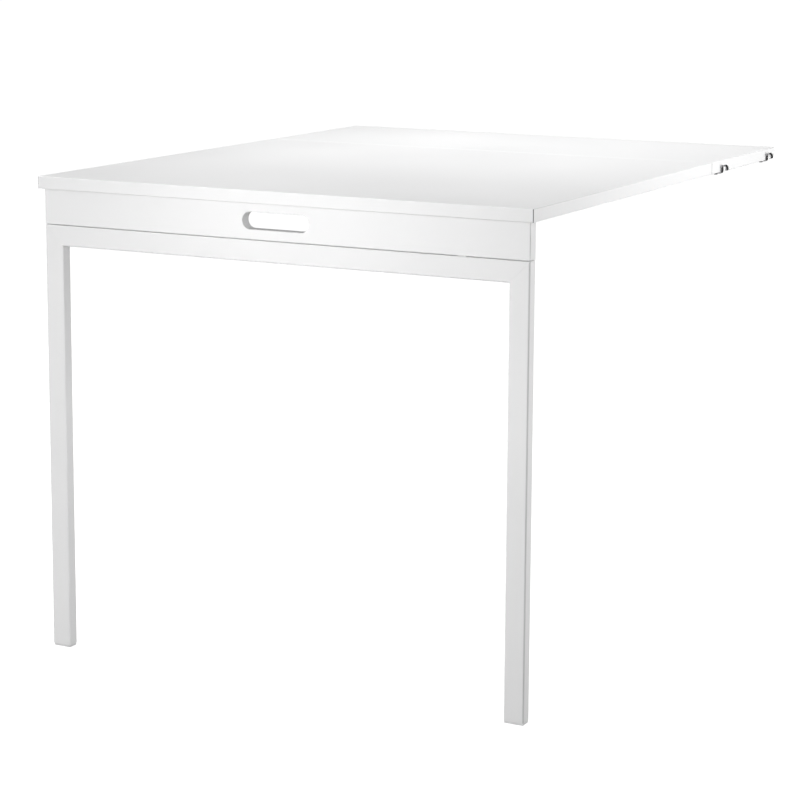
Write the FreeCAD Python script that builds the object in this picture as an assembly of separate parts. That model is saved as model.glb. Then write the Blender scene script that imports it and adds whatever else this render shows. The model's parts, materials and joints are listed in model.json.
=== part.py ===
"""Wall-hung drop-leaf table: a fixed shelf with a hinged leaf that stands on a folding leg frame.

Units are millimetres. X runs along the table's width, Y from the leaf's front edge back to the
shelf, Z up from the floor. The origin is on the floor below the middle of the open table.
"""
import FreeCAD, Part
import os

Vec = FreeCAD.Vector
X_AXIS, Y_AXIS, Z_AXIS = Vec(1, 0, 0), Vec(0, 1, 0), Vec(0, 0, 1)

# overall
WIDTH = 780.0
DEPTH = 960.0
HEIGHT = 700.0

# boards
BOARD = 18.0
LEAF_DEPTH = 665.0
JOINT_GAP = 1.0
EDGE_ROUND = 1.0

# apron under the leaf's front edge, with its hand slot
APRON_HEIGHT = 50.0
APRON_THICK = 18.0
SIDE_INSET = 7.0
FRONT_INSET = 7.0
SLOT_LENGTH = 105.0
SLOT_HEIGHT = 24.0
DOWEL_RADIUS = 4.0
DOWEL_IN_APRON = 20.0
DOWEL_IN_LEAF = 10.0
DOWEL_PLACES = (-340.0, -120.0, 120.0, 340.0)

# leg frame of rectangular tube
RAIL_GAP = 2.0
TUBE_FACE = 30.0
TUBE_DEPTH = 18.0
TUBE_WALL = 1.5
TUBE_ROUND = 2.0
CAP_HEIGHT = 3.5
CAP_INSET = 0.6
CAP_ROUND = 1.2
PLUG_LENGTH = 12.0

# bumper pad on top of the rail, which keeps the apron off it
BUMPER_PLACE = 284.5
BUMPER_WIDTH = 11.0
BUMPER_INSET = 0.8
BUMPER_FREE = 0.3

# hinges
KNUCKLE = 4.0
KNUCKLE_FREE = 0.3
KNUCKLES = 5
KNUCKLE_SIDE_GAP = 0.2
NOTCH_FREE = 0.5
PLATE = 2.0
PLATE_ROUND = 3.0
PIN_RADIUS = 2.0
PIN_HEAD_RADIUS = 3.2
PIN_HEAD = 1.0
HINGE_LENGTH = 70.0
LEAF_PLATE_WIDTH = 28.0
LEAF_HINGES = {"left": -250.0, "middle": 0.0, "right": 250.0}
LEG_PLATE_MARGIN = 3.0
LEG_HINGES = {"left": -300.0, "right": 300.0}
PLATE_SCREW_SPREAD = 0.36
PLATE_SCREW_ROWS = (0.68, 0.38)

# screws
FIT = 0.05
SCREW_RADIUS = 1.75
SCREW_HEAD_RADIUS = 3.4
SCREW_HEAD = 1.7
WOOD_SCREW = 14.0
TUBE_SCREW = 6.0
RECESS_WIDTH = 0.8
RECESS_LENGTH = 3.6
RECESS_DEPTH = 1.1
TIP = 3.0
PAN_HEAD = 2.0

# blocks that brace the apron and carry the magnetic catches
BLOCK_PLACES = {"left": -200.0, "right": 200.0}
BLOCK_WIDTH = 74.0
BLOCK_DEPTH = 36.0
BLOCK_ROUND = 1.5
BLOCK_SCREW_SIDE = 30.0
BLOCK_SCREW_INNER = 15.0
BLOCK_SCREW_BITE = 10.0

# magnetic catches that hold the folded leg frame
CATCH_WIDTH = 46.0
CATCH_DEPTH = 16.0
CATCH_HEIGHT = 12.0
CATCH_EAR = 8.0
CATCH_EAR_THICK = 4.0
CATCH_FREE = 0.3
MAGNET_WIDTH = 22.0
MAGNET_DEPTH = 8.0
MAGNET_HEIGHT = 7.0
MAGNET_RECESS = 0.1

# hooks that hang the shelf on a ladder's rungs
HOOK_WIDTH = 10.0
HOOK_STRIP = 2.0
HOOK_INNER_RADIUS = 3.2
HOOK_TOP_DROP = 6.0
HOOK_TIP_DROP = 15.0
HOOK_FOOT = 18.0
HOOK_EDGE_SPACE = 41.0
HOOK_SCREW_PLACE = 9.0
HOOK_SCREW = 13.0

# places worked out from the sizes above
FRONT = -DEPTH / 2
REAR = DEPTH / 2
TOP_UNDERSIDE = HEIGHT - BOARD
LEAF_REAR = FRONT + LEAF_DEPTH
SHELF_FRONT = LEAF_REAR + JOINT_GAP
APRON_FRONT = FRONT + FRONT_INSET
APRON_REAR = APRON_FRONT + APRON_THICK
APRON_BOTTOM = TOP_UNDERSIDE - APRON_HEIGHT
RAIL_TOP = APRON_BOTTOM - RAIL_GAP
RAIL_BOTTOM = RAIL_TOP - TUBE_FACE
FRAME_HALF = WIDTH / 2 - SIDE_INSET
FRAME_FRONT = APRON_REAR - TUBE_DEPTH
HINGE_DROP = KNUCKLE + KNUCKLE_FREE
LEAF_AXIS = Vec(0, (LEAF_REAR + SHELF_FRONT) / 2, TOP_UNDERSIDE - HINGE_DROP)
LEG_AXIS = Vec(0, APRON_REAR + HINGE_DROP, (APRON_BOTTOM + RAIL_TOP) / 2)
FOLDED_RAIL_NEAR = LEG_AXIS.y + LEG_AXIS.z - RAIL_TOP
FOLDED_RAIL_FAR = LEG_AXIS.y + LEG_AXIS.z - RAIL_BOTTOM
FOLDED_RAIL_TOP = LEG_AXIS.z - HINGE_DROP
CATCH_BOTTOM = FOLDED_RAIL_TOP + CATCH_FREE
CATCH_TOP = CATCH_BOTTOM + CATCH_HEIGHT
CATCH_MIDDLE = (FOLDED_RAIL_NEAR + FOLDED_RAIL_FAR) / 2


def box(low, high):
    """Returns the box between two opposite corners."""
    size = Vec(*high) - Vec(*low)
    return Part.makeBox(size.x, size.y, size.z, Vec(*low))


def rounded_box(low, high, radius, along=None):
    """Returns a box with rounded edges: all of them, or only those that run along one axis."""
    solid = box(low, high)
    edges = solid.Edges
    if along is not None:
        edges = [edge for edge in edges if abs(edge.tangentAt(0).dot(along)) > 0.9]
    return solid.makeFillet(radius, edges)


def moved(shape, move):
    """Returns a copy of a shape after a further move."""
    copy = shape.copy()
    copy.Placement = move.multiply(copy.Placement)
    return copy


def put(shape, point, direction):
    """Returns a copy of a shape built along -Z from the origin, now starting at point."""
    return moved(shape, FreeCAD.Placement(point, FreeCAD.Rotation(Vec(0, 0, -1), direction)))


def countersunk_screw(length, grow=0.0):
    """Returns a screw with its head's face at the origin; grow makes the hole that fits it."""
    shank = SCREW_RADIUS + grow
    head = Part.makeCone(shank, SCREW_HEAD_RADIUS + grow, SCREW_HEAD, Vec(0, 0, -SCREW_HEAD))
    if grow:
        return head.fuse(Part.makeCylinder(shank, length + grow, Vec(0, 0, -length - grow)))
    body = Part.makeCylinder(shank, length - TIP, Vec(0, 0, TIP - length))
    tip = Part.makeCone(shank / 3, shank, TIP, Vec(0, 0, -length))
    return head.fuse([body, tip]).removeSplitter().cut(cross_recess())


def cross_recess():
    """Returns the cross-shaped recess for the driver, sunk from the origin."""
    half, side = RECESS_LENGTH / 2, RECESS_WIDTH / 2
    bar = box((-half, -side, -RECESS_DEPTH), (half, side, 1))
    return bar.fuse(box((-side, -half, -RECESS_DEPTH), (side, half, 1)))


def screw_hole(length):
    """Returns what a countersunk screw's hole takes away."""
    return countersunk_screw(length, FIT)


def pan_screw(length):
    """Returns a pan-head screw whose head stands proud of the origin by PAN_HEAD."""
    head = Part.makeCylinder(SCREW_HEAD_RADIUS, PAN_HEAD)
    rim = [edge for edge in head.Edges if edge.BoundBox.ZMin > PAN_HEAD / 2]
    head = head.makeFillet(PAN_HEAD / 2, rim)
    recess = cross_recess().translated(Vec(0, 0, PAN_HEAD))
    body = Part.makeCylinder(SCREW_RADIUS, length - TIP, Vec(0, 0, TIP - length))
    tip = Part.makeCone(SCREW_RADIUS / 3, SCREW_RADIUS, TIP, Vec(0, 0, -length))
    return head.fuse([body, tip]).removeSplitter().cut(recess)


def pan_hole(length):
    """Returns the straight hole for a pan-head screw."""
    return Part.makeCylinder(SCREW_RADIUS + FIT, length + FIT, Vec(0, 0, -length - FIT))


def plate_screw_points(width, side):
    """Returns where a hinge plate's screws go, on its outer face, in the hinge's own frame."""
    outer, inner = (row * width for row in PLATE_SCREW_ROWS)
    spread = PLATE_SCREW_SPREAD * HINGE_LENGTH
    face = HINGE_DROP - PLATE
    return [Vec(x, side * y, face) for x, y in ((-spread, outer), (0, inner), (spread, outer))]


def hinge_plate(width, side, screw_length):
    """Returns one plate of a hinge on the X axis: side 1 lies along +Y, side -1 along -Y."""
    half = HINGE_LENGTH / 2
    low, high = sorted((0, side * width))
    plate = box((-half, low, HINGE_DROP - PLATE), (half, high, HINGE_DROP))
    corners = [
        edge for edge in plate.Edges
        if abs(edge.tangentAt(0).z) > 0.9 and abs(edge.CenterOfMass.y) > width / 2
    ]
    plate = plate.makeFillet(PLATE_ROUND, corners)
    step = HINGE_LENGTH / KNUCKLES
    notch_low, notch_high = sorted((-side * KNUCKLE, side * (KNUCKLE + NOTCH_FREE)))
    own_first = 0 if side > 0 else 1
    for index in range(KNUCKLES):
        start = index * step - half
        if index % 2 == own_first:
            free_low = KNUCKLE_SIDE_GAP if index > 0 else 0
            free_high = KNUCKLE_SIDE_GAP if index < KNUCKLES - 1 else 0
            length = step - free_low - free_high
            place = Vec(start + free_low, 0, 0)
            plate = plate.fuse(Part.makeCylinder(KNUCKLE, length, place, X_AXIS))
        else:
            notch = box((start, notch_low, -KNUCKLE), (start + step, notch_high, 2 * KNUCKLE))
            plate = plate.cut(notch)
    bore = Part.makeCylinder(PIN_RADIUS + FIT, HINGE_LENGTH, Vec(-half, 0, 0), X_AXIS)
    plate = plate.cut(bore)
    for point in plate_screw_points(width, side):
        plate = plate.cut(put(screw_hole(screw_length), point, Z_AXIS))
    return plate.removeSplitter()


def hinge_pin():
    """Returns a hinge's pin with a flat head outside each end knuckle."""
    half = HINGE_LENGTH / 2
    pin = Part.makeCylinder(PIN_RADIUS, HINGE_LENGTH, Vec(-half, 0, 0), X_AXIS)
    for start in (-half - PIN_HEAD, half):
        pin = pin.fuse(Part.makeCylinder(PIN_HEAD_RADIUS, PIN_HEAD, Vec(start, 0, 0), X_AXIS))
    return pin.removeSplitter()


def hinge_parts(axis, place, width, tilt, lengths):
    """Returns a hinge's two plates, its pin, and each plate's screws and their holes."""
    move = FreeCAD.Placement(axis + Vec(place, 0, 0), FreeCAD.Rotation(X_AXIS, tilt))
    parts = {"pin": hinge_pin(), "screws": {}, "holes": {}}
    for side, length in zip((1, -1), lengths):
        parts[side] = hinge_plate(width, side, length)
        points = plate_screw_points(width, side)
        screws = [put(countersunk_screw(length), point, Z_AXIS) for point in points]
        holes = [put(screw_hole(length), point, Z_AXIS) for point in points]
        parts["screws"][side] = [moved(screw, move) for screw in screws]
        parts["holes"][side] = [moved(hole, move) for hole in holes]
    for key in (1, -1, "pin"):
        parts[key] = moved(parts[key], move)
    return parts


def tube(low, high, along):
    """Returns a rectangular tube with rounded corners, whose bore runs along one axis."""
    wall = Vec(TUBE_WALL, TUBE_WALL, TUBE_WALL) - along * TUBE_WALL
    inner_low, inner_high = Vec(*low) + wall, Vec(*high) - wall
    outer = rounded_box(low, high, TUBE_ROUND, along)
    return outer.cut(rounded_box(inner_low, inner_high, TUBE_ROUND - TUBE_WALL, along))


def mitre_wedge(side):
    """Returns the triangular prism outside one end's mitre line, on the rail's side of it."""
    corner = side * FRAME_HALF
    inner = side * (FRAME_HALF - TUBE_FACE)
    points = [(corner, RAIL_TOP), (inner, RAIL_BOTTOM), (corner, RAIL_BOTTOM)]
    outline = Part.makePolygon([Vec(x, FRAME_FRONT - 1, z) for x, z in points + points[:1]])
    return Part.Face(outline).extrude(Vec(0, TUBE_DEPTH + 2, 0))


def top_rail(holes):
    """Returns the leg frame's rail, cut to a mitre at both ends."""
    low = (-FRAME_HALF, FRAME_FRONT, RAIL_BOTTOM)
    rail = tube(low, (FRAME_HALF, APRON_REAR, RAIL_TOP), X_AXIS)
    return rail.cut([mitre_wedge(-1), mitre_wedge(1)] + holes)


def leg(side):
    """Returns one leg, mitred at the top to meet the rail."""
    near, far = sorted((side * (FRAME_HALF - TUBE_FACE), side * FRAME_HALF))
    post = tube((near, FRAME_FRONT, CAP_HEIGHT), (far, APRON_REAR, RAIL_TOP), Z_AXIS)
    head = box((near - 1, FRAME_FRONT - 1, RAIL_BOTTOM), (far + 1, APRON_REAR + 1, RAIL_TOP))
    return post.cut(head.cut(mitre_wedge(side)))


def foot_cap(side):
    """Returns the plastic cap under a leg, with the plug that holds it in the tube."""
    near, far = sorted((side * (FRAME_HALF - TUBE_FACE), side * FRAME_HALF))
    base = box(
        (near + CAP_INSET, FRAME_FRONT + CAP_INSET, 0),
        (far - CAP_INSET, APRON_REAR - CAP_INSET, CAP_HEIGHT),
    )
    kept = [edge for edge in base.Edges if edge.BoundBox.ZMin < CAP_HEIGHT - FIT]
    base = base.makeFillet(CAP_ROUND, kept)
    hold = TUBE_WALL + FIT
    plug = rounded_box(
        (near + hold, FRAME_FRONT + hold, CAP_HEIGHT - CAP_ROUND),
        (far - hold, APRON_REAR - hold, CAP_HEIGHT + PLUG_LENGTH),
        TUBE_ROUND - TUBE_WALL,
        Z_AXIS,
    )
    return base.fuse(plug).removeSplitter()


def gap_bumper():
    """Returns the pad on the rail that keeps the apron from knocking against it."""
    half = BUMPER_WIDTH / 2
    low = (BUMPER_PLACE - half, FRAME_FRONT + BUMPER_INSET, RAIL_TOP)
    high = (BUMPER_PLACE + half, APRON_REAR - TUBE_ROUND, APRON_BOTTOM - BUMPER_FREE)
    return box(low, high)


def shelf_board(holes):
    """Returns the fixed shelf."""
    low = (-WIDTH / 2, SHELF_FRONT, TOP_UNDERSIDE)
    return rounded_box(low, (WIDTH / 2, REAR, HEIGHT), EDGE_ROUND).cut(holes)


def leaf_board(holes):
    """Returns the hinged leaf."""
    low = (-WIDTH / 2, FRONT, TOP_UNDERSIDE)
    return rounded_box(low, (WIDTH / 2, LEAF_REAR, HEIGHT), EDGE_ROUND).cut(holes)


def hand_slot():
    """Returns the round-ended slot through the apron, with eased edges."""
    half, radius = SLOT_LENGTH / 2, SLOT_HEIGHT / 2
    middle = (APRON_BOTTOM + TOP_UNDERSIDE) / 2
    slot = rounded_box(
        (-half, APRON_FRONT - 1, middle - radius),
        (half, APRON_REAR + 1, middle + radius),
        radius - FIT,
        Y_AXIS,
    )
    return slot


def apron(holes):
    """Returns the apron board with its hand slot."""
    low = (-FRAME_HALF, APRON_FRONT, APRON_BOTTOM)
    board = rounded_box(low, (FRAME_HALF, APRON_REAR, TOP_UNDERSIDE), EDGE_ROUND, X_AXIS)
    board = board.cut(hand_slot())
    rims = [edge for edge in board.Edges if on_slot_rim(edge)]
    return board.makeFillet(EDGE_ROUND, rims).cut(holes)


def on_slot_rim(edge):
    """Tells whether an edge of the apron lies on the hand slot's rim, in a front or back face."""
    bounds = edge.BoundBox
    in_face = bounds.YLength < FIT and min(
        abs(bounds.YMin - APRON_FRONT), abs(bounds.YMin - APRON_REAR)
    ) < FIT
    return in_face and max(abs(bounds.XMin), abs(bounds.XMax)) < SLOT_LENGTH / 2 + FIT


def dowel(place, grow=0.0):
    """Returns a dowel between apron and leaf; grow makes its hole."""
    bottom = Vec(place, (APRON_FRONT + APRON_REAR) / 2, TOP_UNDERSIDE - DOWEL_IN_APRON - grow)
    length = DOWEL_IN_APRON + DOWEL_IN_LEAF + 2 * grow
    return Part.makeCylinder(DOWEL_RADIUS + grow, length, bottom)


def apron_block(place, holes):
    """Returns the block in the corner of apron and leaf that carries a catch."""
    half = BLOCK_WIDTH / 2
    low = (place - half, APRON_REAR, CATCH_TOP)
    high = (place + half, APRON_REAR + BLOCK_DEPTH, TOP_UNDERSIDE)
    return rounded_box(low, high, BLOCK_ROUND, Y_AXIS).cut(holes)


def block_screws(place):
    """Returns each block screw's length, start and direction: two up, two towards the front."""
    up = TOP_UNDERSIDE - CATCH_TOP + BLOCK_SCREW_BITE
    forward = BLOCK_DEPTH + BLOCK_SCREW_BITE
    middle = (CATCH_TOP + TOP_UNDERSIDE) / 2
    screws = []
    for side in (-1, 1):
        bottom = Vec(place + side * BLOCK_SCREW_SIDE, APRON_REAR + BLOCK_DEPTH / 2, CATCH_TOP)
        back = Vec(place + side * BLOCK_SCREW_INNER, APRON_REAR + BLOCK_DEPTH, middle)
        screws.append((up, bottom, Z_AXIS))
        screws.append((forward, back, -Y_AXIS))
    return screws


def catch_screws(place):
    """Returns each catch screw's length, start and direction."""
    side = (CATCH_WIDTH - CATCH_EAR) / 2
    level = CATCH_TOP - CATCH_EAR_THICK
    return [(WOOD_SCREW, Vec(place + s * side, CATCH_MIDDLE, level), Z_AXIS) for s in (-1, 1)]


def magnet(place, grow=0.0):
    """Returns a catch's bar magnet; grow makes its pocket, which is open at the bottom."""
    half_width, half_depth = MAGNET_WIDTH / 2 + grow, MAGNET_DEPTH / 2 + grow
    bottom = CATCH_BOTTOM - 1 if grow else CATCH_BOTTOM + MAGNET_RECESS
    return box(
        (place - half_width, CATCH_MIDDLE - half_depth, bottom),
        (place + half_width, CATCH_MIDDLE + half_depth, CATCH_BOTTOM + MAGNET_HEIGHT + grow),
    )


def catch_housing(place):
    """Returns a catch's plastic housing: a body with a screw ear at each side."""
    half_width, half_depth = CATCH_WIDTH / 2, CATCH_DEPTH / 2
    body = rounded_box(
        (place - half_width + CATCH_EAR, CATCH_MIDDLE - half_depth, CATCH_BOTTOM),
        (place + half_width - CATCH_EAR, CATCH_MIDDLE + half_depth, CATCH_TOP),
        EDGE_ROUND,
        Z_AXIS,
    )
    ears = rounded_box(
        (place - half_width, CATCH_MIDDLE - half_depth, CATCH_TOP - CATCH_EAR_THICK),
        (place + half_width, CATCH_MIDDLE + half_depth, CATCH_TOP),
        PLATE_ROUND,
        Z_AXIS,
    )
    holes = [put(screw_hole(size), point, way) for size, point, way in catch_screws(place)]
    return body.fuse(ears).cut([magnet(place, FIT)] + holes)


def hook_middles():
    """Returns the hooks' middles along Y, front and rear."""
    return {"front": SHELF_FRONT + HOOK_EDGE_SPACE, "rear": REAR - HOOK_EDGE_SPACE}


def hook(side, middle):
    """Returns one hook: a bent strip with a foot under the shelf and an open arch beside it."""
    end = WIDTH / 2
    outer = HOOK_INNER_RADIUS + HOOK_STRIP
    arch_x = end + outer
    arch_z = HEIGHT - HOOK_TOP_DROP - outer
    tip_z = HEIGHT - HOOK_TIP_DROP
    near, far = middle - HOOK_WIDTH / 2, middle + HOOK_WIDTH / 2
    foot_z = TOP_UNDERSIDE - HOOK_STRIP
    foot = box((end - HOOK_FOOT, near, foot_z), (end + HOOK_STRIP, far, TOP_UNDERSIDE))
    limb = box((end, near, foot_z), (end + HOOK_STRIP, far, arch_z))
    start = Vec(arch_x, near, arch_z)
    arch = Part.makeCylinder(outer, HOOK_WIDTH, start, Y_AXIS)
    arch = arch.cut(Part.makeCylinder(HOOK_INNER_RADIUS, HOOK_WIDTH, start, Y_AXIS))
    arch = arch.cut(box((end - 1, near - 1, arch_z - outer - 1), (arch_x + outer + 1, far + 1, arch_z)))
    tip_inner = arch_x + HOOK_INNER_RADIUS
    tip = box((tip_inner, near, tip_z), (tip_inner + HOOK_STRIP, far, arch_z))
    strip = foot.fuse([limb, arch, tip]).removeSplitter()
    bend = [
        edge for edge in strip.Edges
        if edge.BoundBox.XMin > end + HOOK_STRIP - FIT and edge.BoundBox.ZMax < foot_z + FIT
        and edge.BoundBox.YLength > HOOK_WIDTH / 2
    ]
    strip = strip.makeFillet(HOOK_STRIP * 0.9, bend)
    strip = strip.cut(put(pan_hole(HOOK_SCREW), *hook_screw(middle)))
    if side < 0:
        return strip.mirror(Vec(0, 0, 0), X_AXIS)
    return strip


def hook_screw(middle):
    """Returns where a right hook's screw starts and its direction."""
    return Vec(WIDTH / 2 - HOOK_SCREW_PLACE, middle, TOP_UNDERSIDE - HOOK_STRIP), Z_AXIS


def save(name, solids):
    """Writes one node's solids to its own file."""
    shapes = solids if isinstance(solids, list) else [solids]
    shape = shapes[0] if len(shapes) == 1 else Part.makeCompound(shapes)
    shape.exportStep("parts/" + name + ".step")
    print(name, len(shape.Solids), round(shape.Volume, 1), "valid" if shape.isValid() else "BAD")


def build_hinges(prefix, axis, places, width, tilt, lengths, plate_names):
    """Saves a row of hinges and returns their plates' screws and holes by side."""
    screws, holes = {1: [], -1: []}, {1: [], -1: []}
    for name, place in places.items():
        parts = hinge_parts(axis, place, width, tilt, lengths)
        for side in (1, -1):
            save(prefix + "_" + name + "_" + plate_names[side], parts[side])
            screws[side] += parts["screws"][side]
            holes[side] += parts["holes"][side]
        save(prefix + "_" + name + "_pin", parts["pin"])
    return screws, holes


def build():
    """Builds and saves every node."""
    os.makedirs("parts", exist_ok=True)
    top_screws, top_holes = build_hinges(
        "leaf_hinge", LEAF_AXIS, LEAF_HINGES, LEAF_PLATE_WIDTH, 0,
        (WOOD_SCREW, WOOD_SCREW), {1: "shelf_plate", -1: "leaf_plate"},
    )
    leg_screws, leg_holes = build_hinges(
        "leg_hinge", LEG_AXIS, LEG_HINGES, TUBE_FACE - LEG_PLATE_MARGIN, 90,
        (WOOD_SCREW, TUBE_SCREW), {1: "apron_plate", -1: "frame_plate"},
    )

    hook_screws, hook_holes = [], []
    for where, middle in hook_middles().items():
        point, way = hook_screw(middle)
        for side, name in ((-1, "left"), (1, "right")):
            save("hook_" + name + "_" + where, hook(side, middle))
            start = Vec(side * point.x, point.y, point.z)
            hook_screws.append(put(pan_screw(HOOK_SCREW), start, way))
            hook_holes.append(put(pan_hole(HOOK_SCREW), start, way))

    block_set, block_holes, catch_set, catch_holes, magnets = [], {}, [], {}, []
    for name, place in BLOCK_PLACES.items():
        wanted = block_screws(place)
        block_set += [put(countersunk_screw(size), point, way) for size, point, way in wanted]
        block_holes[name] = [put(screw_hole(size), point, way) for size, point, way in wanted]
        wanted = catch_screws(place)
        catch_set += [put(countersunk_screw(size), point, way) for size, point, way in wanted]
        catch_holes[name] = [put(screw_hole(size), point, way) for size, point, way in wanted]
        save("apron_block_" + name, apron_block(place, block_holes[name] + catch_holes[name]))
        save("catch_housing_" + name, catch_housing(place))
        magnets.append(magnet(place))

    dowels = [dowel(place) for place in DOWEL_PLACES]
    dowel_holes = [dowel(place, FIT) for place in DOWEL_PLACES]
    all_block_holes = block_holes["left"] + block_holes["right"]

    save("shelf_board", shelf_board(top_holes[1] + hook_holes))
    save("leaf_board", leaf_board(top_holes[-1] + dowel_holes + all_block_holes))
    save("apron", apron(leg_holes[1] + dowel_holes + all_block_holes))
    save("top_rail", top_rail(leg_holes[-1]))
    for side, name in ((-1, "left"), (1, "right")):
        save("leg_" + name, leg(side))
        save("foot_cap_" + name, foot_cap(side))
    save("gap_bumper", gap_bumper())

    save("shelf_hinge_screws", top_screws[1])
    save("leaf_hinge_screws", top_screws[-1])
    save("leg_hinge_apron_screws", leg_screws[1])
    save("leg_hinge_frame_screws", leg_screws[-1])
    save("hook_screws", hook_screws)
    save("block_screws", block_set)
    save("catch_screws", catch_set)
    save("catch_magnets", magnets)
    save("apron_dowels", dowels)


build()
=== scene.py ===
"""Looks for the wall-hung drop-leaf table: lacquered boards, powder-coated tube and plated steel."""

import json
import math

import bmesh
import bpy
from mathutils import Matrix, Vector


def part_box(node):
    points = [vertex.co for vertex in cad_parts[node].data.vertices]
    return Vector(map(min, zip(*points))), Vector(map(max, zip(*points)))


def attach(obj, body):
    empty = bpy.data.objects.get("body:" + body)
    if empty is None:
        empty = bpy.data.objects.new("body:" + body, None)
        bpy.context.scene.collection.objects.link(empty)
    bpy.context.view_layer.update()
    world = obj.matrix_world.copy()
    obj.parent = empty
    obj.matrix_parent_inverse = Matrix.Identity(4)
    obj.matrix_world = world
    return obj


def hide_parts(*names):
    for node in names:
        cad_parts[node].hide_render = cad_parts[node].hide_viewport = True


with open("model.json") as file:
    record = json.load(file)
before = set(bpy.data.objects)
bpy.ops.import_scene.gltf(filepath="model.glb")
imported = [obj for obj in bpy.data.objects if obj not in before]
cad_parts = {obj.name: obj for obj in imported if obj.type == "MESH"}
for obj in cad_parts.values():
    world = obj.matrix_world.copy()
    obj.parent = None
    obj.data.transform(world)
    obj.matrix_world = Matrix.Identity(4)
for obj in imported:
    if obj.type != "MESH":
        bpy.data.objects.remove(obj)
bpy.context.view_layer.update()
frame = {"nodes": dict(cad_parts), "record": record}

# All sizes are in metres. A name with STEPS counts the straight pieces of a rounding.

# boards and apron
EDGE_ROUND = 0.0010
EDGE_STEPS = 5
APRON_CORNER_STEPS = 3
APRON_DROP = 0.0012       # the visible apron hangs this much lower than the CAD one
SLOT_PAST_BOX = 0.0095    # the hand slot's round ends reach past the record's opening
SLOT_PAST_SIDE = 0.0005
SLOT_STEPS = 20

# leg frame
TUBE_ROUND = 0.0020
CORNER_STEPS = 7
SEAM_WIDTH = 0.00020      # chamfer that shows a welded mitre as a seam
SEAM_DEPTH = 0.00018

# painted shade on outer corners, a grey line standing in for the shading of rounded corners:
# strength from 0 to 1, and the grey they turn to. The line on the boards' outer ends is partly the
# dark joint where edge bands meet, partly painted shade.
BAND_SEAM_AND_SHADE = 1.0
BAND_EDGE_SHADE = 0.30
CORNER_SHADE = 0.30
CORNER_SHADE_GREY = (0.12, 0.12, 0.12, 1)
FLAT = 1e-5               # a point nearer than this lies on a face, not on a rounding

# hooks
STRIP = 0.0020                    # thickness of the bent strip
STRIP_EDGE = 0.00035              # rounding of its long edges
STRIP_BEND = STRIP * 1.5          # outer radius of the bend from foot to upright
STRIP_EASE = STRIP_EDGE * 1.5     # rounding of the foot's end
HOOK_RADIUS = 0.0052              # outer radius of the arch
TIP_LENGTH = 0.0038               # how far the tip hangs below the arch's centre
EASE_STEPS = 3
BEND_STEPS = 6
TIP_STEPS = 8
ARCH_STEPS = 16

# points nearer than this are one point
SAME_POINT = 1e-6

# materials: the range that most noise values lie in. Noise scales are per metre.
NOISE_LOW = 0.3
NOISE_HIGH = 0.7

# stage: what the camera sees of the floor, and what the floor and the world light with
FLOOR_REACH = 30.0
FLOOR_DIFFUSE = 0.25
FLOOR_SEEN = 1.0
FLOOR_GLOW = 0.03
WORLD_FILL = 0.28
WORLD_REFLECTED = 0.4

# softboxes: name, place, what it points at, width and height, power in watts, seen in reflections.
# The places were chosen, the powers fitted to the photo's tones and then adjusted.
SOFTBOXES = [
    ("front_left", (-1.5, -3.1, 1.0), (0.0, -0.47, 0.6), (1.0, 1.0), 17.9, True),
    ("front_right", (1.6, -2.2, 1.3), (0.0, -0.47, 0.65), (0.6, 0.6), 11.0, False),
    ("front_low", (0.0, -1.7, 0.2), (0.0, -0.47, 0.15), (0.9, 0.3), 3.6, True),
    ("front_near", (0.0, -0.95, 0.72), (0.0, -0.47, 0.62), (0.25, 0.35), 0.37, True),
    ("front_tight", (0.0, -0.85, 0.70), (0.0, -0.47, 0.64), (0.2, 0.2), 0.25, False),
    ("left", (-2.5, -0.6, 1.2), (0.0, -0.3, 0.5), (1.2, 1.5), 65.0, False),
    ("right", (1.5, 0.30, 0.90), (0.39, 0.15, 0.7), (0.5, 0.5), 13.6, False),
    ("right_low", (1.6, -0.2, 0.45), (0.38, -0.46, 0.35), (0.5, 0.8), 1.0, False),
    ("overhead_near", (0.0, 0.40, 1.45), (0.0, 0.40, 0.0), (0.7, 0.6), 4.2, False),
    ("overhead", (0.0, -0.1, 2.4), (0.0, -0.1, 0.0), (1.2, 1.0), 16.3, False),
    ("behind", (0.6, 3.2, 1.1), (0.0, 0.0, 0.7), (1.6, 1.2), 15.0, False),
]

# camera, fitted to corners of the object in the photo: angles in degrees, lens and sensor in
# millimetres, shift as a share of the sensor
CAMERA_PLACE = (1.651, -3.296, 1.079)
CAMERA_YAW = 27.31
CAMERA_PITCH = 9.67
CAMERA_ROLL = 0.32
CAMERA_LENS = 108.2
CAMERA_SENSOR = 36.0
CAMERA_SHIFT = -0.10
CAMERA_NEAR = 0.05
CAMERA_FAR = 100.0


# ---------------------------------------------------------------- materials

def node(tree, kind, **values):
    """Adds a shader node and sets its inputs or, failing that, its attributes."""
    made = tree.nodes.new("ShaderNode" + kind)
    for name, value in values.items():
        label = name.replace("_", " ").title() if name[0].islower() else name
        if label in made.inputs:
            made.inputs[label].default_value = value
        else:
            setattr(made, name, value)
    return made


def start(name):
    """Makes an empty material and returns it with its tree, shader and object coordinates."""
    made = bpy.data.materials.new(name)
    made.use_nodes = True
    tree = made.node_tree
    shader = tree.nodes["Principled BSDF"]
    place = node(tree, "TexCoord").outputs["Object"]
    return made, tree, shader, place


def noise(tree, place, scale, detail=2.0, roughness=0.5, stretch=(1, 1, 1)):
    """Returns a noise output at a scale per metre, optionally stretched along an axis."""
    fitted = node(tree, "Mapping", Scale=stretch)
    tree.links.new(place, fitted.inputs["Vector"])
    made = node(tree, "TexNoise", Scale=scale, Detail=detail, Roughness=roughness)
    tree.links.new(fitted.outputs["Vector"], made.inputs["Vector"])
    return made.outputs["Fac"]


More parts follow.
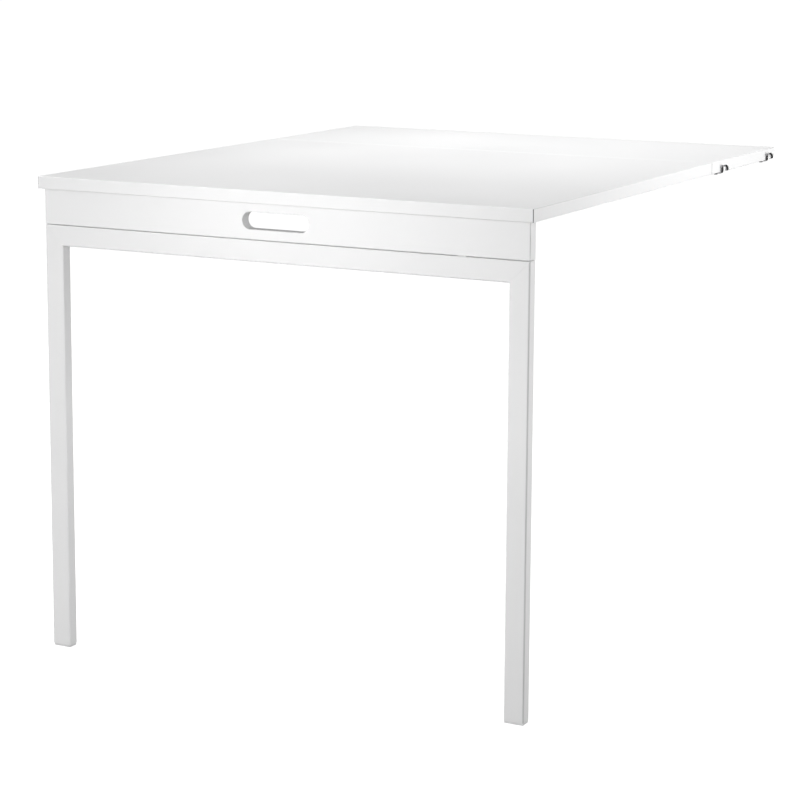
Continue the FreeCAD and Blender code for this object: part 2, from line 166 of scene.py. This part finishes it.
def spread(tree, value, low, high):
    """Returns a noise value mapped to a range."""
    made = node(tree, "MapRange")
    made.inputs["From Min"].default_value = NOISE_LOW
    made.inputs["From Max"].default_value = NOISE_HIGH
    made.inputs["To Min"].default_value = low
    made.inputs["To Max"].default_value = high
    tree.links.new(value, made.inputs["Value"])
    return made.outputs["Result"]


def tint(tree, value, dark, light):
    """Returns a colour between two, driven by a noise value."""
    ramp = node(tree, "ValToRGB")
    first, last = ramp.color_ramp.elements
    first.position = NOISE_LOW
    last.position = NOISE_HIGH
    first.color = (*dark, 1)
    last.color = (*light, 1)
    tree.links.new(value, ramp.inputs["Fac"])
    return ramp.outputs["Color"]


def bump(tree, shader, layers):
    """Chains bump layers of (height, strength, distance in metres) into the shader's normal."""
    last = None
    for height, strength, distance in layers:
        made = node(tree, "Bump", Strength=strength, Distance=distance)
        tree.links.new(height, made.inputs["Height"])
        if last:
            tree.links.new(last, made.inputs["Normal"])
        last = made.outputs["Normal"]
    tree.links.new(last, shader.inputs["Normal"])


def with_painted_corner_shade(tree, colour):
    """Returns the colour turned grey where a mesh carries marked edges: painted shade on its
    corners.
    """
    marked = node(tree, "Attribute", attribute_name="painted_corner_shade")
    mixed = tree.nodes.new("ShaderNodeMixRGB")
    mixed.inputs["Color2"].default_value = CORNER_SHADE_GREY
    tree.links.new(marked.outputs["Fac"], mixed.inputs["Fac"])
    tree.links.new(colour, mixed.inputs["Color1"])
    return mixed.outputs["Color"]


def white_lacquer():
    """Sprayed satin lacquer on board: faint orange peel, a slow drift of gloss, hardly any tint."""
    made, tree, shader, place = start("white_lacquer")
    drift = noise(tree, place, 3.0)
    peel = noise(tree, place, 420.0, 3.0)
    dust = noise(tree, place, 1500.0, 1.0)
    colour = tint(tree, drift, (0.865, 0.866, 0.868), (0.885, 0.885, 0.885))
    # painted shade: marked corners turn grey; on the boards' outer ends this is partly the dark
    # joint of the edge bands
    tree.links.new(with_painted_corner_shade(tree, colour), shader.inputs["Base Color"])
    tree.links.new(spread(tree, drift, 0.30, 0.36), shader.inputs["Roughness"])
    bump(tree, shader, [(peel, 0.25, 0.00006), (dust, 0.10, 0.00002)])
    shader.inputs["Specular IOR Level"].default_value = 0.5
    return made


def white_powder_coat():
    """Powder coat on steel: a tighter, rougher peel than the lacquer's."""
    made, tree, shader, place = start("white_powder_coat")
    drift = noise(tree, place, 6.0)
    peel = noise(tree, place, 700.0, 4.0, 0.6)
    grit = noise(tree, place, 2600.0, 1.0)
    colour = tint(tree, drift, (0.850, 0.851, 0.853), (0.872, 0.872, 0.872))
    # painted shade: the legs' marked front corners turn grey
    tree.links.new(with_painted_corner_shade(tree, colour), shader.inputs["Base Color"])
    tree.links.new(spread(tree, peel, 0.34, 0.44), shader.inputs["Roughness"])
    bump(tree, shader, [(peel, 0.35, 0.00007), (grit, 0.15, 0.00002)])
    shader.inputs["Specular IOR Level"].default_value = 0.5
    return made


def plated_steel(name, dark, light, gloss, grain, stretch):
    """Plated or polished steel with a directional grain; gloss is its roughness range."""
    made, tree, shader, place = start(name)
    lines = noise(tree, place, grain, 3.0, 0.6, stretch)
    cloud = noise(tree, place, 90.0)
    tree.links.new(tint(tree, cloud, dark, light), shader.inputs["Base Color"])
    tree.links.new(spread(tree, lines, *gloss), shader.inputs["Roughness"])
    bump(tree, shader, [(lines, 0.20, 0.00002)])
    shader.inputs["Metallic"].default_value = 1.0
    return made


def moulded_plastic():
    """White moulded plastic with a fine spark-eroded grain."""
    made, tree, shader, place = start("moulded_plastic")
    cloud = noise(tree, place, 40.0)
    grain = noise(tree, place, 2200.0, 2.0, 0.7)
    colour = tint(tree, cloud, (0.80, 0.80, 0.80), (0.84, 0.84, 0.84))
    tree.links.new(colour, shader.inputs["Base Color"])
    tree.links.new(spread(tree, grain, 0.42, 0.56), shader.inputs["Roughness"])
    bump(tree, shader, [(grain, 0.40, 0.00004)])
    return made


def raw_beech():
    """Turned beech for the dowels, with long pores."""
    made, tree, shader, place = start("raw_beech")
    pores = noise(tree, place, 700.0, 3.0, 0.6, (1, 1, 0.08))
    colour = tint(tree, pores, (0.50, 0.33, 0.19), (0.72, 0.54, 0.36))
    tree.links.new(colour, shader.inputs["Base Color"])
    tree.links.new(spread(tree, pores, 0.55, 0.75), shader.inputs["Roughness"])
    bump(tree, shader, [(pores, 0.5, 0.0001)])
    return made


def make_materials():
    """Returns one material per finish in the record."""
    return {
        "white_board": white_lacquer(),
        "white_steel": white_powder_coat(),
        "white_plastic": moulded_plastic(),
        "polished_steel": plated_steel(
            "polished_steel", (0.42, 0.42, 0.43), (0.54, 0.54, 0.55), (0.08, 0.16), 300.0, (1, 8, 1)
        ),
        "hinge_steel": plated_steel(
            "hinge_steel", (0.72, 0.72, 0.73), (0.82, 0.82, 0.83), (0.22, 0.38), 900.0, (0.08, 1, 1)
        ),
        "magnet_steel": plated_steel(
            "magnet_steel", (0.20, 0.20, 0.21), (0.30, 0.30, 0.31), (0.30, 0.45), 1200.0, (1, 0.1, 1)
        ),
        "dowel_wood": raw_beech(),
    }


# ---------------------------------------------------------------- shapes

def add_piece(name, mesh, body, slot, materials, *nodes):
    """Adds a mesh as a piece that stands for CAD nodes, rides on a body and has a finish."""
    piece = bpy.data.objects.new(name, mesh)
    bpy.context.scene.collection.objects.link(piece)
    mesh.materials.clear()
    mesh.materials.append(materials[slot])
    for face in mesh.polygons:
        face.use_smooth = True
    even = piece.modifiers.new("even_normals", "WEIGHTED_NORMAL")
    even.weight = 100
    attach(piece, body)
    if nodes:
        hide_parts(*nodes)
    return piece


def rounded_board(name, low, high):
    """Returns a board's mesh between two corners, with all edges rounded."""
    shape = bmesh.new()
    bmesh.ops.create_cube(shape, size=1.0)
    size = high - low
    bmesh.ops.scale(shape, vec=size, verts=shape.verts)
    bmesh.ops.translate(shape, vec=(low + high) / 2, verts=shape.verts)
    bmesh.ops.bevel(
        shape, geom=shape.edges[:], offset=EDGE_ROUND, segments=EDGE_STEPS, profile=0.5,
        affect="EDGES", clamp_overlap=True,
    )
    mesh = bpy.data.meshes.new(name)
    shape.to_mesh(mesh)
    shape.free()
    return mesh


def mark_corner_shade(mesh, low, high, rounding, ends, top_shade=0.0):
    """Marks a shape's upright corners with a line of painted shade and, near its first end, its top
    side edges.

    ends lists the depth of each marked end and how strong the painted shade on its corners is.
    """
    line = mesh.attributes.new("painted_corner_shade", "FLOAT", "POINT")
    for point in mesh.vertices:
        from_side = min(abs(point.co.x - low.x), abs(high.x - point.co.x))
        if not FLAT < from_side < rounding - FLAT:
            continue
        for end_y, strength in ends:
            if FLAT < abs(point.co.y - end_y) < rounding - FLAT:
                line.data[point.index].value = strength
        near_first = abs(point.co.y - ends[0][0]) < 2 * rounding
        near_top = high.z - point.co.z < rounding - FLAT
        if near_first and near_top and line.data[point.index].value == 0:
            line.data[point.index].value = top_shade


def plate_from_outlines(name, outlines, thickness, edge, to_frame):
    """Returns the mesh of a plate with closed outlines in its plane, thick along its normal."""
    curve = bpy.data.curves.new(name, "CURVE")
    curve.dimensions = "2D"
    curve.fill_mode = "BOTH"
    curve.extrude = thickness / 2 - edge
    curve.bevel_depth = edge
    curve.bevel_resolution = EDGE_STEPS - 1
    curve.offset = -edge
    for outline in outlines:
        line = curve.splines.new("POLY")
        line.points.add(len(outline) - 1)
        for point, (u, v) in zip(line.points, outline):
            point.co = (u, v, 0, 1)
        line.use_cyclic_u = True
    holder = bpy.data.objects.new(name, curve)
    bpy.context.scene.collection.objects.link(holder)
    bpy.context.view_layer.update()
    evaluated = holder.evaluated_get(bpy.context.evaluated_depsgraph_get())
    mesh = bpy.data.meshes.new_from_object(evaluated)
    bpy.data.objects.remove(holder)
    mesh.transform(to_frame)
    weld(mesh)
    return mesh


def weld(mesh):
    """Joins the mesh's doubled points and turns its faces outwards."""
    shape = bmesh.new()
    shape.from_mesh(mesh)
    bmesh.ops.remove_doubles(shape, verts=shape.verts, dist=SAME_POINT)
    bmesh.ops.recalc_face_normals(shape, faces=shape.faces)
    shape.to_mesh(mesh)
    shape.free()


def upright(y):
    """Returns the turn that stands a flat outline up in the XZ plane at a depth."""
    return Matrix.Translation((0, y, 0)) @ Matrix.Rotation(math.pi / 2, 4, "X")


def arc(centre, radius, start_angle, end_angle, steps):
    """Returns points along an arc, ends included, with angles in degrees."""
    points = []
    for step in range(steps + 1):
        angle = math.radians(start_angle + (end_angle - start_angle) * step / steps)
        points.append((centre[0] + radius * math.cos(angle), centre[1] + radius * math.sin(angle)))
    return points


def rectangle(low, high, radius, steps):
    """Returns a rectangle's outline with round corners."""
    corners = [
        ((high[0] - radius, high[1] - radius), 0),
        ((low[0] + radius, high[1] - radius), 90),
        ((low[0] + radius, low[1] + radius), 180),
        ((high[0] - radius, low[1] + radius), 270),
    ]
    points = []
    for centre, angle in corners:
        points += arc(centre, radius, angle, angle + 90, steps)
    return points


def make_boards(materials):
    """Replaces the shelf and the leaf with smoothly rounded boards."""
    for name, body in (("shelf_board", "shelf"), ("leaf_board", "leaf")):
        low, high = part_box(name)
        mesh = rounded_board(name + "_lacquered", low, high)
        outer, inner = (low.y, high.y) if body == "leaf" else (high.y, low.y)
        # painted shade along the board's corners and top side edges; the line on its outer end is
        # partly the dark joint where edge bands meet
        ends = [(outer, BAND_SEAM_AND_SHADE), (inner, CORNER_SHADE)]
        mark_corner_shade(mesh, low, high, EDGE_ROUND, ends, BAND_EDGE_SHADE)
        add_piece(name + "_lacquered", mesh, body, "white_board", materials, name)


def make_apron(materials):
    """Replaces the apron with one whose hand slot has a smooth round rim."""
    low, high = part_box("apron")
    opening = frame["record"]["physics"]["openings"][0]["box_m"]
    middle = (low.z + high.z) / 2
    slot_half = opening[1][0] + SLOT_PAST_BOX
    slot_radius = (opening[1][2] - opening[0][2]) / 2 + SLOT_PAST_SIDE
    board = rectangle((low.x, low.z - APRON_DROP), (high.x, high.z), EDGE_ROUND, APRON_CORNER_STEPS)
    slot = rectangle(
        (-slot_half, middle - slot_radius), (slot_half, middle + slot_radius),
        slot_radius - SAME_POINT, SLOT_STEPS,
    )
    mesh = plate_from_outlines(
        "apron_lacquered", [board, slot], high.y - low.y, EDGE_ROUND, upright((low.y + high.y) / 2)
    )
    # painted shade on the apron's front upright corners
    mark_corner_shade(mesh, low, high, EDGE_ROUND, [(low.y, CORNER_SHADE)])
    add_piece("apron_lacquered", mesh, "leaf", "white_board", materials, "apron")


def tube_mesh(name, low, high, place, ends):
    """Returns the mesh of a tube with closed ends.

    low and high bound its section, place turns (u, v, run) into a point, and ends gives the run
    at either end, each with a narrow chamfer for the seam.
    """
    full = rectangle(low, high, TUBE_ROUND, CORNER_STEPS)
    inset_low = (low[0] + SEAM_DEPTH, low[1] + SEAM_DEPTH)
    inset_high = (high[0] - SEAM_DEPTH, high[1] - SEAM_DEPTH)
    inset = rectangle(inset_low, inset_high, TUBE_ROUND - SEAM_DEPTH, CORNER_STEPS)
    first, last = ends
    rings = [
        [place(u, v, first(u, v)) for u, v in inset],
        [place(u, v, first(u, v) + SEAM_WIDTH) for u, v in full],
        [place(u, v, last(u, v) - SEAM_WIDTH) for u, v in full],
        [place(u, v, last(u, v)) for u, v in inset],
    ]
    shape = bmesh.new()
    loops = [[shape.verts.new(point) for point in points] for points in rings]
    count = len(full)
    for near, far in zip(loops, loops[1:]):
        for i in range(count):
            j = (i + 1) % count
            shape.faces.new((near[i], near[j], far[j], far[i]))
    shape.faces.new(loops[0][::-1])
    shape.faces.new(loops[-1])
    bmesh.ops.recalc_face_normals(shape, faces=shape.faces)
    mesh = bpy.data.meshes.new(name)
    shape.to_mesh(mesh)
    shape.free()
    return mesh


def make_leg_frame(materials):
    """Replaces the rail and legs with tubes whose welded mitres show as fine seams."""
    rail_low, rail_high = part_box("top_rail")
    for name, side in (("leg_left", -1), ("leg_right", 1)):
        low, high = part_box(name)
        inner = min(abs(low.x), abs(high.x))
        mesh = tube_mesh(
            name + "_coated", (low.x, low.y), (high.x, high.y),
            lambda u, v, run: Vector((u, v, run)),
            (
                lambda u, v, foot=low.z: foot,
                lambda u, v, inner=inner: rail_low.z + abs(u) - inner,
            ),
        )
        # painted shade on the leg's outer front corner
        outer = Vector((side * max(abs(low.x), abs(high.x)), low.y, high.z))
        mark_corner_shade(mesh, outer, outer, TUBE_ROUND, [(low.y, CORNER_SHADE)])
        add_piece(name + "_coated", mesh, "leg_frame", "white_steel", materials, name)
    leg_low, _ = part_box("leg_right")
    mesh = tube_mesh(
        "top_rail_coated", (rail_low.y, rail_low.z), (rail_high.y, rail_high.z),
        lambda u, v, run: Vector((run, u, v)),
        (
            lambda u, v: -leg_low.x - (v - rail_low.z),
            lambda u, v: leg_low.x + (v - rail_low.z),
        ),
    )
    add_piece("top_rail_coated", mesh, "leg_frame", "white_steel", materials, "top_rail")


def hook_outline(low, high, side):
    """Returns the side view of a bent hook: a foot, an upright, an open arch and a short tip."""
    end = high.x - 2 * HOOK_RADIUS
    arch_z = high.z - HOOK_RADIUS
    middle = (end + HOOK_RADIUS, arch_z)
    heel = (end + STRIP - STRIP_BEND, low.z + STRIP_BEND)
    tip = (high.x - STRIP / 2, arch_z - TIP_LENGTH + STRIP / 2)
    toe_x = low.x + STRIP_EASE
    crook = STRIP_EASE / 2
    points = arc((toe_x, low.z + STRIP_EASE), STRIP_EASE, 180, 270, EASE_STEPS)
    points += arc(heel, STRIP_BEND, 270, 360, BEND_STEPS)
    points += arc(middle, HOOK_RADIUS - STRIP, 180, 0, ARCH_STEPS)
    points += arc(tip, STRIP / 2, 180, 360, TIP_STEPS)
    points += arc(middle, HOOK_RADIUS, 0, 180, ARCH_STEPS)
    points += [(end, low.z + STRIP + crook), (end - crook, low.z + STRIP)]
    points += arc((toe_x, low.z + STRIP - STRIP_EASE), STRIP_EASE, 90, 180, EASE_STEPS)
    return [(side * x, z) for x, z in points]


def make_hooks(materials):
    """Replaces the hooks with bent strip whose edges are eased."""
    for side, end in ((-1, "left"), (1, "right")):
        for where in ("front", "rear"):
            name = "hook_" + end + "_" + where
            low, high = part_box(name)
            if side < 0:
                low, high = Vector((-high.x, low.y, low.z)), Vector((-low.x, high.y, high.z))
            outline = hook_outline(low, high, side)
            mesh = plate_from_outlines(
                name + "_bent", [outline], high.y - low.y, STRIP_EDGE, upright((low.y + high.y) / 2)
            )
            add_piece(name + "_bent", mesh, "shelf", "polished_steel", materials, name)


def finish_cad_nodes(materials):
    """Gives every CAD node that still shows the material of its slot."""
    slots = {part["node"]: part["material_slot"] for part in frame["record"]["subparts"]}
    for name, piece in frame["nodes"].items():
        for socket in piece.material_slots:
            socket.material = materials[slots[name]]


# ---------------------------------------------------------------- stage

def math_node(tree, operation, first, second):
    """Adds a math node on two values or outputs and returns its output."""
    made = tree.nodes.new("ShaderNodeMath")
    made.operation = operation
    for socket, value in zip(made.inputs, (first, second)):
        if isinstance(value, (int, float)):
            socket.default_value = value
        else:
            tree.links.new(value, socket)
    return made.outputs["Value"]


def make_stage():
    """Adds the floor: it looks white to the camera, but glows and reflects only a little."""
    mesh = bpy.data.meshes.new("floor")
    signs = ((-1, -1), (1, -1), (1, 1), (-1, 1))
    corners = [(x * FLOOR_REACH, y * FLOOR_REACH, 0) for x, y in signs]
    mesh.from_pydata(corners, [], [(0, 1, 2, 3)])
    floor = bpy.data.objects.new("floor", mesh)
    bpy.context.scene.collection.objects.link(floor)
    made = bpy.data.materials.new("floor")
    made.use_nodes = True
    tree = made.node_tree
    shader = tree.nodes["Principled BSDF"]
    shader.inputs["Base Color"].default_value = (FLOOR_DIFFUSE,) * 3 + (1,)
    shader.inputs["Roughness"].default_value = 1.0
    shader.inputs["Specular IOR Level"].default_value = 0.0
    shader.inputs["Emission Color"].default_value = (1, 1, 1, 1)
    seen = tree.nodes.new("ShaderNodeLightPath").outputs["Is Camera Ray"]
    glow = math_node(tree, "MULTIPLY", seen, FLOOR_SEEN - FLOOR_GLOW)
    tree.links.new(math_node(tree, "ADD", glow, FLOOR_GLOW), shader.inputs["Emission Strength"])
    mesh.materials.append(made)


def make_world():
    """Lights the studio evenly from all round: white to the camera, dimmer in reflections."""
    world = bpy.data.worlds.new("studio")
    bpy.context.scene.world = world
    world.use_nodes = True
    tree = world.node_tree
    white = tree.nodes["Background"]
    white.inputs["Color"].default_value = (1, 1, 1, 1)
    white.inputs["Strength"].default_value = 1.0
    path = tree.nodes.new("ShaderNodeLightPath")
    reflected_change = WORLD_FILL * (WORLD_REFLECTED - 1)
    change = math_node(tree, "MULTIPLY", path.outputs["Is Glossy Ray"], reflected_change)
    fill = tree.nodes.new("ShaderNodeBackground")
    tree.links.new(math_node(tree, "ADD", change, WORLD_FILL), fill.inputs["Strength"])
    pick = tree.nodes.new("ShaderNodeMixShader")
    tree.links.new(path.outputs["Is Camera Ray"], pick.inputs["Fac"])
    tree.links.new(fill.outputs["Background"], pick.inputs[1])
    tree.links.new(white.outputs["Background"], pick.inputs[2])
    tree.links.new(pick.outputs["Shader"], tree.nodes["World Output"].inputs["Surface"])


def make_softboxes():
    """Adds the area lights. None shows to the camera, and only some show in reflections."""
    for name, place, target, size, power, reflected in SOFTBOXES:
        light = bpy.data.lights.new(name, "AREA")
        light.shape = "RECTANGLE"
        light.size, light.size_y = size
        light.energy = power
        lamp = bpy.data.objects.new(name, light)
        lamp.location = place
        lamp.visible_camera = False
        lamp.visible_glossy = reflected
        aim = Vector(target) - Vector(place)
        lamp.rotation_euler = aim.to_track_quat("-Z", "Y").to_euler()
        bpy.context.scene.collection.objects.link(lamp)


def make_camera():
    """Adds the camera: it looks along yaw and pitch, with a slight roll and a small shift."""
    data = bpy.data.cameras.new("camera")
    data.lens = CAMERA_LENS
    data.sensor_width = CAMERA_SENSOR
    data.shift_y = CAMERA_SHIFT
    data.clip_start = CAMERA_NEAR
    data.clip_end = CAMERA_FAR
    camera = bpy.data.objects.new("camera", data)
    turn = Matrix.Rotation(math.radians(CAMERA_YAW), 4, "Z")
    tilt = Matrix.Rotation(math.radians(90 - CAMERA_PITCH), 4, "X")
    roll = Matrix.Rotation(math.radians(CAMERA_ROLL), 4, "Z")
    camera.matrix_world = Matrix.Translation(CAMERA_PLACE) @ turn @ tilt @ roll
    bpy.context.scene.collection.objects.link(camera)
    bpy.context.scene.camera = camera


make_camera()
finishes = make_materials()
make_boards(finishes)
make_apron(finishes)
make_leg_frame(finishes)
make_hooks(finishes)
finish_cad_nodes(finishes)
make_stage()
make_world()
make_softboxes()
bpy.context.scene.view_settings.view_transform = "Standard"
